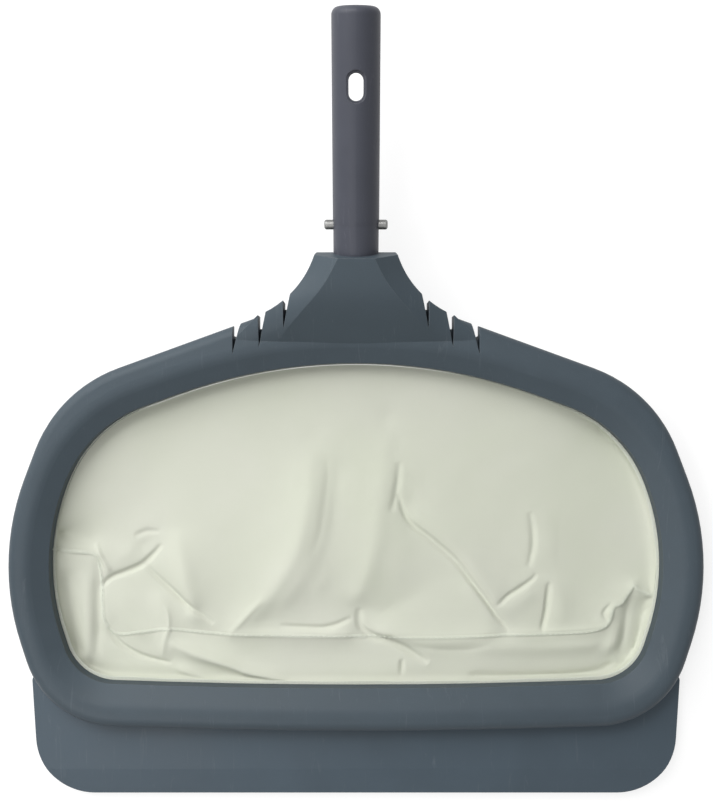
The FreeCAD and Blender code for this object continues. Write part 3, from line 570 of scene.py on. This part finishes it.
# Where the panel is sewn to the gusset, from rim to rim, in millimetres
SEAM = [(-203, -80.5), (-193, -84.5), (-181.5, -86), (-171, -89), (-167.5, -101.5), (-166.5, -118),
        (-165, -132.5), (-156.5, -140.5), (-140.5, -139), (-123.5, -137), (-105, -139), (-85.5, -140.5),
        (-43.5, -141), (-1.5, -142), (29, -142.5), (62, -142.5), (100, -141), (134, -140), (154, -138.5),
        (163, -135), (166.5, -129.5), (169, -122.5), (174, -120), (178, -114), (182, -108.5), (186, -111.5),
        (192, -114), (200.5, -117.5)]


# Where the bag's rest height and reach begin to change from panel to gusset, and over which way, in metres
LOW_START, LOW_BLEND = -0.092, 0.045
# Rest heights and reaches of the bag's cloth in millimetres; the rim's own reach fades inwards
PANEL_REST, GUSSET_REST_MORE = 0.5, 1.7
PANEL_REACH, GUSSET_REACH = 25.0, 11.0
STEEP_REACH, GENTLE_REACH_MORE = 1.6, 58.0
RIM_FADE, GENTLE_FADE_LESS = 36, 18
RIM_LEVEL = 8.6
LINE_REACH = 1.5
GRID_STEP = 1.04
SETTLING_TURNS = 260
HELD_STEP, FREE_STEP = 0.9, 1.7


def settled(plan, inset, gentle, lines):
    """Height in millimetres of a thin sheet that sinks to its rest height between the lines that hold it.
    Each point is the mean of its four neighbours and of the rest height, which weighs (spacing / reach)²;
    within half a millimetre of a line it is the line's height, and up to 1.5 mm from it, or near the line's
    ends, the two are mixed. Found by turns over the two colours of a chessboard, each point going HELD_STEP
    or FREE_STEP times the way to its mean."""
    low = np.clip((LOW_START - plan[..., 1]) / LOW_BLEND, 0, 1)
    low = low * low * (3 - 2 * low)
    rest = PANEL_REST + GUSSET_REST_MORE * low
    rim = np.exp(-inset * 1000 / (RIM_FADE - GENTLE_FADE_LESS * gentle))
    inner_reach = PANEL_REACH + (GUSSET_REACH - PANEL_REACH) * low
    reach = (1 - rim) * inner_reach + rim * (STEEP_REACH + GENTLE_REACH_MORE * gentle)
    keep = np.zeros(inset.size)
    aim = np.zeros(inset.size)
    for line in lines:
        near, away, along, extra = beside(plan, line, LINE_REACH)
        weight = np.clip(LINE_REACH - np.abs(away), 0, 1)
        weight = weight * np.clip(np.minimum(along, 1 - along) * 12 + 0.15, 0, 1)
        stronger = weight > keep[near]
        aim[near[stronger]] = extra[stronger, 0]
        keep[near[stronger]] = weight[stronger]
    keep = keep.reshape(inset.shape)
    aim = aim.reshape(inset.shape)
    pull = (GRID_STEP / reach) ** 2
    height = rest + (RIM_LEVEL - rest) * np.exp(-inset * 1000 / reach)
    first = height.copy()
    odd = (np.add.outer(np.arange(height.shape[0]), np.arange(height.shape[1])) % 2).astype(bool)
    for turn in range(SETTLING_TURNS):
        for side in (odd, ~odd):
            mean = (height[:-2, 1:-1] + height[2:, 1:-1] + height[1:-1, :-2] + height[1:-1, 2:]) / 4
            mean = (mean + pull[1:-1, 1:-1] / 4 * rest[1:-1, 1:-1]) / (1 + pull[1:-1, 1:-1] / 4)
            mean = mean + keep[1:-1, 1:-1] * (aim[1:-1, 1:-1] - mean)
            inner = height[1:-1, 1:-1]
            step = np.where(keep[1:-1, 1:-1] > 0, HELD_STEP, FREE_STEP)
            inner += np.where(side[1:-1, 1:-1], step * (mean - inner), 0)
    height[0], height[-1], height[:, 0], height[:, -1] = first[0], first[-1], first[:, 0], first[:, -1]
    return height


def softened(height, inset, passes):
    """Mean with the neighbours, some times over, fading out over the last 8 mm before the rim."""
    share = 0.5 * np.clip(inset[1:-1, 1:-1] / 0.008, 0, 1) ** 2
    for turn in range(passes):
        inner = height[1:-1, 1:-1]
        mean = (height[:-2, 1:-1] + height[2:, 1:-1] + height[1:-1, :-2] + height[1:-1, 2:]) / 4
        height[1:-1, 1:-1] = inner + share * (mean - inner)
    return height


CREASE_REACH = 16


def creases(plan, grooves, ridges):
    """Sum over the creases, in millimetres: a groove is lip * (d / reach) * exp(1 - d / reach) on each side,
    less depth * exp(-(d / half width)²); a ridge is height * exp(-(d / half width)²). Both fade out at their
    ends."""
    total = np.zeros(plan[..., 0].size)
    for depth, width, lip_left, reach_left, lip_right, reach_right, line in grooves:
        near, away, along, _ = beside(plan, line, CREASE_REACH)
        fade = np.sin(math.pi * np.clip(along, 0, 1)) ** 0.5
        lip = np.where(away > 0, lip_left, lip_right)
        off = np.abs(away) / np.where(away > 0, reach_left, reach_right)
        total[near] += fade * (lip * off * np.exp(1 - off) - depth * np.exp(-(away / width) ** 2))
    for rise, width, line in ridges:
        near, away, along, _ = beside(plan, line, 4 * width)
        total[near] += rise * np.sin(math.pi * np.clip(along, 0, 1)) ** 0.5 * np.exp(-(away / width) ** 2)
    return total.reshape(plan.shape[:2])


WAVES = ((26, 0.35), (12, 0.14), (5, 0.05))
WAVE_SEED, WAVE_SHARE = 11, 1.6
FIELD_CORNER, FIELD_SIZE = (-230, -190), (460, 300)


def uneven(plan):
    """Sum of soft waves, each a bicubic surface over seeded random heights on a square lattice that covers
    the field. WAVES lists the lattice steps and the largest heights. All is in millimetres."""
    chance = np.random.default_rng(WAVE_SEED)
    x, y = plan[..., 0] * 1000 - FIELD_CORNER[0], plan[..., 1] * 1000 - FIELD_CORNER[1]
    total = np.zeros(x.shape)
    for step, size in WAVES:
        lattice = chance.uniform(-size, size, [int(side / step) + 4 for side in FIELD_SIZE])
        u, v = x / step + 1, y / step + 1
        i, j = u.astype(int), v.astype(int)
        wave = np.zeros(x.shape)
        for k in range(-1, 3):
            for m in range(-1, 3):
                a, b = np.abs(u - i - k), np.abs(v - j - m)
                ka = np.where(a < 1, 2 / 3 - a ** 2 + a ** 3 / 2, np.clip(2 - a, 0, None) ** 3 / 6)
                kb = np.where(b < 1, 2 / 3 - b ** 2 + b ** 3 / 2, np.clip(2 - b, 0, None) ** 3 / 6)
                wave += ka * kb * lattice[i + k, j + m]
        total += wave
    return total


GENTLE_WAY = (0.77, -0.64)
SOFTENING_TURNS = 26
SMOOTH_EDGE, SMOOTH_FADE = 0.001, 0.010
FLOOR_LEVEL, FLOOR_ROUND = 0.4, 0.25


def bag_height(plan, inset, around):
    """Height of the bag: the settled sheet, softened, plus its creases and waves, which fade out towards the
    rim. It lands softly on the floor: height = level + round * log(1 + exp((height - level) / round)). Its
    wall is gentle where the way inwards from the rim is GENTLE_WAY, at the upper left, and steep on the other
    sides."""
    towards = RIM_IN[(around * RIM_POINTS).astype(int)] @ np.array(GENTLE_WAY)
    gentle = np.clip(1.2 * towards, 0, 1)
    height = softened(settled(plan, inset, gentle, HELD_LINES), inset, SOFTENING_TURNS)
    far = np.clip((inset - SMOOTH_EDGE) / SMOOTH_FADE, 0, 1)
    height += creases(plan, GROOVES, RIDGES) * far + uneven(plan) * far * WAVE_SHARE
    height = FLOOR_LEVEL + FLOOR_ROUND * np.logaddexp(0, (height - FLOOR_LEVEL) / FLOOR_ROUND)
    return height / 1000


# Grid of the bag, its height and its flat cut, which is measured along its middle row and column
ROWS, COLUMNS = 220, 384
plan = bag_grid(ROWS, COLUMNS)
height = bag_height(plan, *from_rim(plan))
bag = np.concatenate([plan, height[..., None]], -1)
cut_v, cut_u = way_along(bag[:, COLUMNS // 2]), way_along(bag[ROWS // 2])
flat = np.stack(np.broadcast_arrays(cut_u[None, :], -cut_v[:, None]), -1)
seam = drawn(SEAM) / 1000


def below(points, line):
    """Whether each point lies on the near side of a line that runs from left to right across the bag: a ray
    straight up from it crosses the line an odd number of times."""
    crossed = np.zeros(points.shape[:-1], int)
    for (x0, y0), (x1, y1) in zip(line[:-1], line[1:]):
        spans = (points[..., 0] < x0) != (points[..., 0] < x1)
        level = y0 + (points[..., 0] - x0) * (y1 - y0) / (x1 - x0 if x1 != x0 else 1e-9)
        crossed += spans & (level > points[..., 1])
    return crossed % 2 == 1


def part_of(points, quads, kept, uv):
    """The kept faces with only their own points."""
    used, numbers = np.unique(quads[kept], return_inverse=True)
    return points.reshape(-1, 3)[used], numbers.reshape(-1, 4), uv.reshape(-1, 2)[used]


# Faces of the bag on both sides of the seam, whose line is drawn on past the rim. Each side is a piece with
# its flat cut in metres and square metres.
PAST_RIM = (0.03, 0)
bag_quads = grid_quads(ROWS, COLUMNS)[:, ::-1]
middles = bag.reshape(-1, 3)[bag_quads].mean(1)
in_gusset = below(middles[:, :2], np.concatenate([[seam[0] - PAST_RIM], seam, [seam[-1] + PAST_RIM]]))
for name, node, kept, cut, area in (
    ("bag_rear_panel", "net_rear_panel", ~in_gusset, (0.42, 0.215), 0.062),
    ("bag_gusset", "net_gusset", in_gusset, (0.42, 0.10), 0.0165),
):
    cloth_points, cloth_quads, cloth_uv = part_of(bag, bag_quads, kept, flat)
    cloth = mesh_piece(name, cloth_points, cloth_quads, net_cloth, cloth_uv)
    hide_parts(node)


def level_at(xy):
    """Height of the bag at plan points: that of the nearest point of its grid plus its slope there times the
    way between the two. The points are taken in portions to spare memory."""
    flat_plan = plan.reshape(-1, 2)
    nearest = np.empty(len(xy), np.int64)
    for part in np.array_split(np.arange(len(xy)), 1 + len(xy) // 300):
        nearest[part] = ((xy[part, None] - flat_plan[None]) ** 2).sum(-1).argmin(1)
    down = np.gradient(bag, axis=0).reshape(-1, 3)[nearest]
    across = np.gradient(bag, axis=1).reshape(-1, 3)[nearest]
    away = xy - flat_plan[nearest]
    size = down[:, 0] * across[:, 1] - down[:, 1] * across[:, 0]
    p = (away[:, 0] * across[:, 1] - away[:, 1] * across[:, 0]) / size
    q = (down[:, 0] * away[:, 1] - down[:, 1] * away[:, 0]) / size
    return height.reshape(-1)[nearest] + p * down[:, 2] + q * across[:, 2]


def sideways(line):
    """Unit vector to the left at each point of an open line."""
    along = np.gradient(line, axis=0)
    side = np.stack([-along[:, 1], along[:, 0]], 1)
    return side / np.linalg.norm(side, axis=1)[:, None]


BINDING_HALF, BINDING_THICK, BINDING_LOWEST = 0.0014, 0.00038, 0.0006
BINDING_ALONG, BINDING_ACROSS = 760, 9


def seam_binding():
    """Narrow tape folded over the seam: across it, height = bag + thickness * (1 - 0.85 * (w / half width)²),
    with the bag's height and slope at the seam each a mean of five places along it."""
    path = evenly(seam, BINDING_ALONG, False)
    w = np.linspace(-1, 1, BINDING_ACROSS) * BINDING_HALF
    side = sideways(path)
    xy = path[:, None] + side[:, None] * w[None, :, None]
    ground = level_at(path)
    slope = (level_at(path + side * BINDING_HALF) - level_at(path - side * BINDING_HALF)) / (2 * BINDING_HALF)
    smooth = np.ones(5) / 5
    ground = np.convolve(np.pad(ground, 2, mode="edge"), smooth, "valid")
    slope = np.convolve(np.pad(slope, 2, mode="edge"), smooth, "valid")
    up = ground[:, None] + slope[:, None] * w + BINDING_THICK * (1 - 0.85 * (w / BINDING_HALF) ** 2)
    points = np.concatenate([xy, np.maximum(up, BINDING_LOWEST)[..., None]], -1)
    uv = np.stack(np.broadcast_arrays(way_along(path)[:, None], w[None]), -1)
    return points, grid_quads(*up.shape)[:, ::-1], uv


BEAD_RINGS, BEAD_AROUND = 7, 6


def stitch_row(points, side, pitch, length, radius):
    """Thread stitches along a line: each is a long bead with closed ends, point(u, a) = middle
    + u * length / 2 along the line + radius * sqrt(1 - u²) * (side * cos a + up * sin a)."""
    side = np.concatenate([side, np.zeros((len(side), 1))], 1)
    up = np.broadcast_to(np.array([0, 0, 1.0]), side.shape)
    steps = way_along(points)
    count = int(steps[-1] / pitch)
    at = (np.arange(count) + 0.5) * pitch
    middle, side, up = (
        np.stack([np.interp(at, steps, values[:, k]) for k in range(3)], 1) for values in (points, side, up)
    )
    along = np.cross(side, up)
    u = np.linspace(-0.995, 0.995, BEAD_RINGS)
    a = np.linspace(0, 2 * math.pi, BEAD_AROUND, endpoint=False)
    sideward = side[:, None, None] * np.cos(a)[None, None, :, None]
    upward = up[:, None, None] * np.sin(a)[None, None, :, None]
    bead = middle[:, None, None] + along[:, None, None] * (u * length / 2)[None, :, None, None]
    bead = bead + (sideward + upward) * (radius * np.sqrt(1 - u ** 2))[None, :, None, None]
    front_end = np.array([(3, 2, 1, 0), (5, 4, 3, 0)])
    back_end = front_end[:, ::-1] + (BEAD_RINGS - 1) * BEAD_AROUND
    one = np.concatenate([grid_quads(BEAD_RINGS, BEAD_AROUND, close_columns=True), front_end, back_end])
    first = np.arange(count) * BEAD_RINGS * BEAD_AROUND
    return bead, (one[None] + first[:, None, None]).reshape(-1, 4)


# How far the middle of the thread lies above each tape, and inside the rim on the hem
SEAM_THREAD_RISE = 0.00012
HEM_THREAD_RISE, HEM_THREAD_INSET = 0.00004, 0.0004

binding_points, binding_quads, binding_uv = seam_binding()
binding = mesh_piece("bag_seam_tape", binding_points, binding_quads, seam_cloth, binding_uv)
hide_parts("net_seam_tape")
seam_middle = binding_points[:, BINDING_ACROSS // 2]
seam_line, seam_side = seam_middle + (0, 0, SEAM_THREAD_RISE), sideways(seam_middle[:, :2])
seam_beads, seam_bead_quads = stitch_row(seam_line, seam_side, pitch=0.0034, length=0.0023, radius=0.00022)
seam_thread = mesh_piece("bag_seam_thread", seam_beads, seam_bead_quads, thread)


# Hem

HEM_OUTSIDE, HEM_INSIDE, HEM_PLAY = 0.012, 0.0024, 0.00003


def hem_band():
    """Tape along the opening, folded in two: section(w) runs from HEM_OUTSIDE outside the opening to
    HEM_INSIDE times a ripple inside it, turns back over a half circle of the tape's own thickness and returns
    below. The ripple is 1 plus two sine waves along the opening, times a share from 0.2 at the upper left to
    0.7."""
    w = np.linspace(-HEM_OUTSIDE, HEM_INSIDE, 10)
    a = np.linspace(math.pi / 2, -math.pi / 2, 7)[1:-1]
    half = (HEM_TOP - HEM_UNDER) / 2 - HEM_PLAY
    middle = (HEM_TOP + HEM_UNDER) / 2
    across = np.concatenate([w, HEM_INSIDE + half * np.cos(a), w[::-1]])
    up = np.concatenate([np.full_like(w, half), half * np.sin(a), np.full_like(w, -half)]) + middle
    line = RIM[::2]
    inside = RIM_IN[::2]
    n = np.arange(len(line))
    ripple = 1 + 0.10 * np.sin(n * 0.061) + 0.07 * np.sin(n * 0.173 + 1.3)
    ripple *= 0.2 + 0.5 * np.clip((0.02 - line[:, 1] + line[:, 0] * 0.3) / 0.08, 0, 1)
    reach = np.where(across[None, :] > 0, across[None, :] * ripple[:, None], across[None, :])
    xy = line[:, None] + inside[:, None] * reach[..., None]
    points = np.concatenate([xy, np.broadcast_to(up[None, :, None], (*reach.shape, 1))], -1)
    uv = np.stack(np.broadcast_arrays(way_along(line)[:, None], across[None, :]), -1)
    return points, grid_quads(len(line), len(across), True, True), uv


hem_points, hem_quads, hem_uv = hem_band()
hem = mesh_piece("bag_hem", hem_points, hem_quads, hem_tape, hem_uv)
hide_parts("net_hem")
hem_line = RIM[::2] + RIM_IN[::2] * HEM_THREAD_INSET
hem_line = np.concatenate([hem_line, np.full((len(hem_line), 1), HEM_TOP + HEM_THREAD_RISE)], 1)
hem_beads, hem_bead_quads = stitch_row(hem_line, RIM_IN[::2], pitch=0.0032, length=0.0022, radius=0.0002)
hem_thread = mesh_piece("bag_hem_thread", hem_beads, hem_bead_quads, thread)


# Floor, light and camera

FLOOR_HALF = 3.0
NEAR_GLOW, FAR_GLOW = 0.78, 1.0
GLOW_RISE = (0.6, 1.4)


def white_floor():
    """Pale matt floor. A camera ray, straight or by gloss, sees it glow, so that it is white where no shadow
    falls; over GLOW_RISE from the middle the glow rises until the floor is white by itself."""
    f = Finish("pale floor")
    f.set(Base_Color=(0.8, 0.8, 0.8), Roughness=1.0, Specular_IOR_Level=0.0)
    rays = f.node("ShaderNodeLightPath").outputs
    by_gloss = f.math("MAXIMUM", rays["Is Glossy Ray"], rays["Is Transmission Ray"])
    seen = f.math("MAXIMUM", rays["Is Camera Ray"], by_gloss)
    away = f.node("ShaderNodeVectorMath", {0: f.place()}, operation="LENGTH").outputs["Value"]
    glow = f.spread(away, *GLOW_RISE, NEAR_GLOW, FAR_GLOW)
    shown = f.node("ShaderNodeAddShader", {
        0: f.node("ShaderNodeBsdfDiffuse", {"Color": (0.30, 0.30, 0.30, 1)}).outputs[0],
        1: f.node("ShaderNodeEmission", {"Color": (1, 1, 1, 1), "Strength": glow}).outputs[0],
    }).outputs[0]
    both = f.node("ShaderNodeMixShader", {0: seen, 1: f.shader.outputs[0], 2: shown}).outputs[0]
    f.tree.links.new(both, f.tree.nodes["Material Output"].inputs["Surface"])
    return f.material


floor_corners = np.array([(-1, -1, 0), (1, -1, 0), (1, 1, 0), (-1, 1, 0)]) * FLOOR_HALF
mesh_piece("floor", floor_corners, [[0, 1, 2, 3]], white_floor(), body=None)

# White all round to the camera, a quarter of that as light
world = bpy.data.worlds.new("studio")
bpy.context.scene.world = world
world.use_nodes = True
tree = world.node_tree
sky = tree.nodes["Background"]
sky.inputs["Color"].default_value = (1, 1, 1, 1)
sky.inputs["Strength"].default_value = 0.25
white = tree.nodes.new("ShaderNodeBackground")
white.inputs["Color"].default_value = (1, 1, 1, 1)
white.inputs["Strength"].default_value = 1.0
rays = tree.nodes.new("ShaderNodeLightPath").outputs
seen = rays["Is Camera Ray"]
for kind in ("Is Glossy Ray", "Is Transmission Ray"):
    either = tree.nodes.new("ShaderNodeMath")
    either.operation = "MAXIMUM"
    tree.links.new(seen, either.inputs[0])
    tree.links.new(rays[kind], either.inputs[1])
    seen = either.outputs[0]
choice = tree.nodes.new("ShaderNodeMixShader")
tree.links.new(seen, choice.inputs[0])
tree.links.new(sky.outputs[0], choice.inputs[1])
tree.links.new(white.outputs[0], choice.inputs[2])
tree.links.new(choice.outputs[0], tree.nodes["World Output"].inputs["Surface"])


def soft_box(name, place, aim, size, power):
    """Square area lamp at a place, turned to what it lights."""
    lamp = bpy.data.lights.new(name, "AREA")
    lamp.shape = "RECTANGLE"
    lamp.size = lamp.size_y = size
    lamp.energy = power
    stand = bpy.data.objects.new(name, lamp)
    bpy.context.scene.collection.objects.link(stand)
    stand.location = place
    stand.rotation_euler = (Vector(aim) - Vector(place)).to_track_quat("-Z", "Y").to_euler()


soft_box("key", place=(-0.84, 0.84, 0.96), aim=(0, -0.02, 0), size=1.2, power=23.6)
soft_box("fill", place=(-0.42, -0.52, 0.92), aim=(0, -0.1, 0), size=0.35, power=2.7)
soft_box("overhead", place=(-0.22, 0.60, 1.15), aim=(0, 0, 0), size=0.5, power=3.8)

# Camera straight above the head, looking down
CAMERA_PLACE = (0.0003, 0.01297, 0.605)
camera = bpy.data.cameras.new("camera")
camera.lens = 41.17
camera.sensor_width = 36.0
camera.clip_start, camera.clip_end = 0.01, 20
stand = bpy.data.objects.new("camera", camera)
stand.location = CAMERA_PLACE
bpy.context.scene.collection.objects.link(stand)
bpy.context.scene.camera = stand
bpy.context.scene.view_settings.view_transform = "Standard"
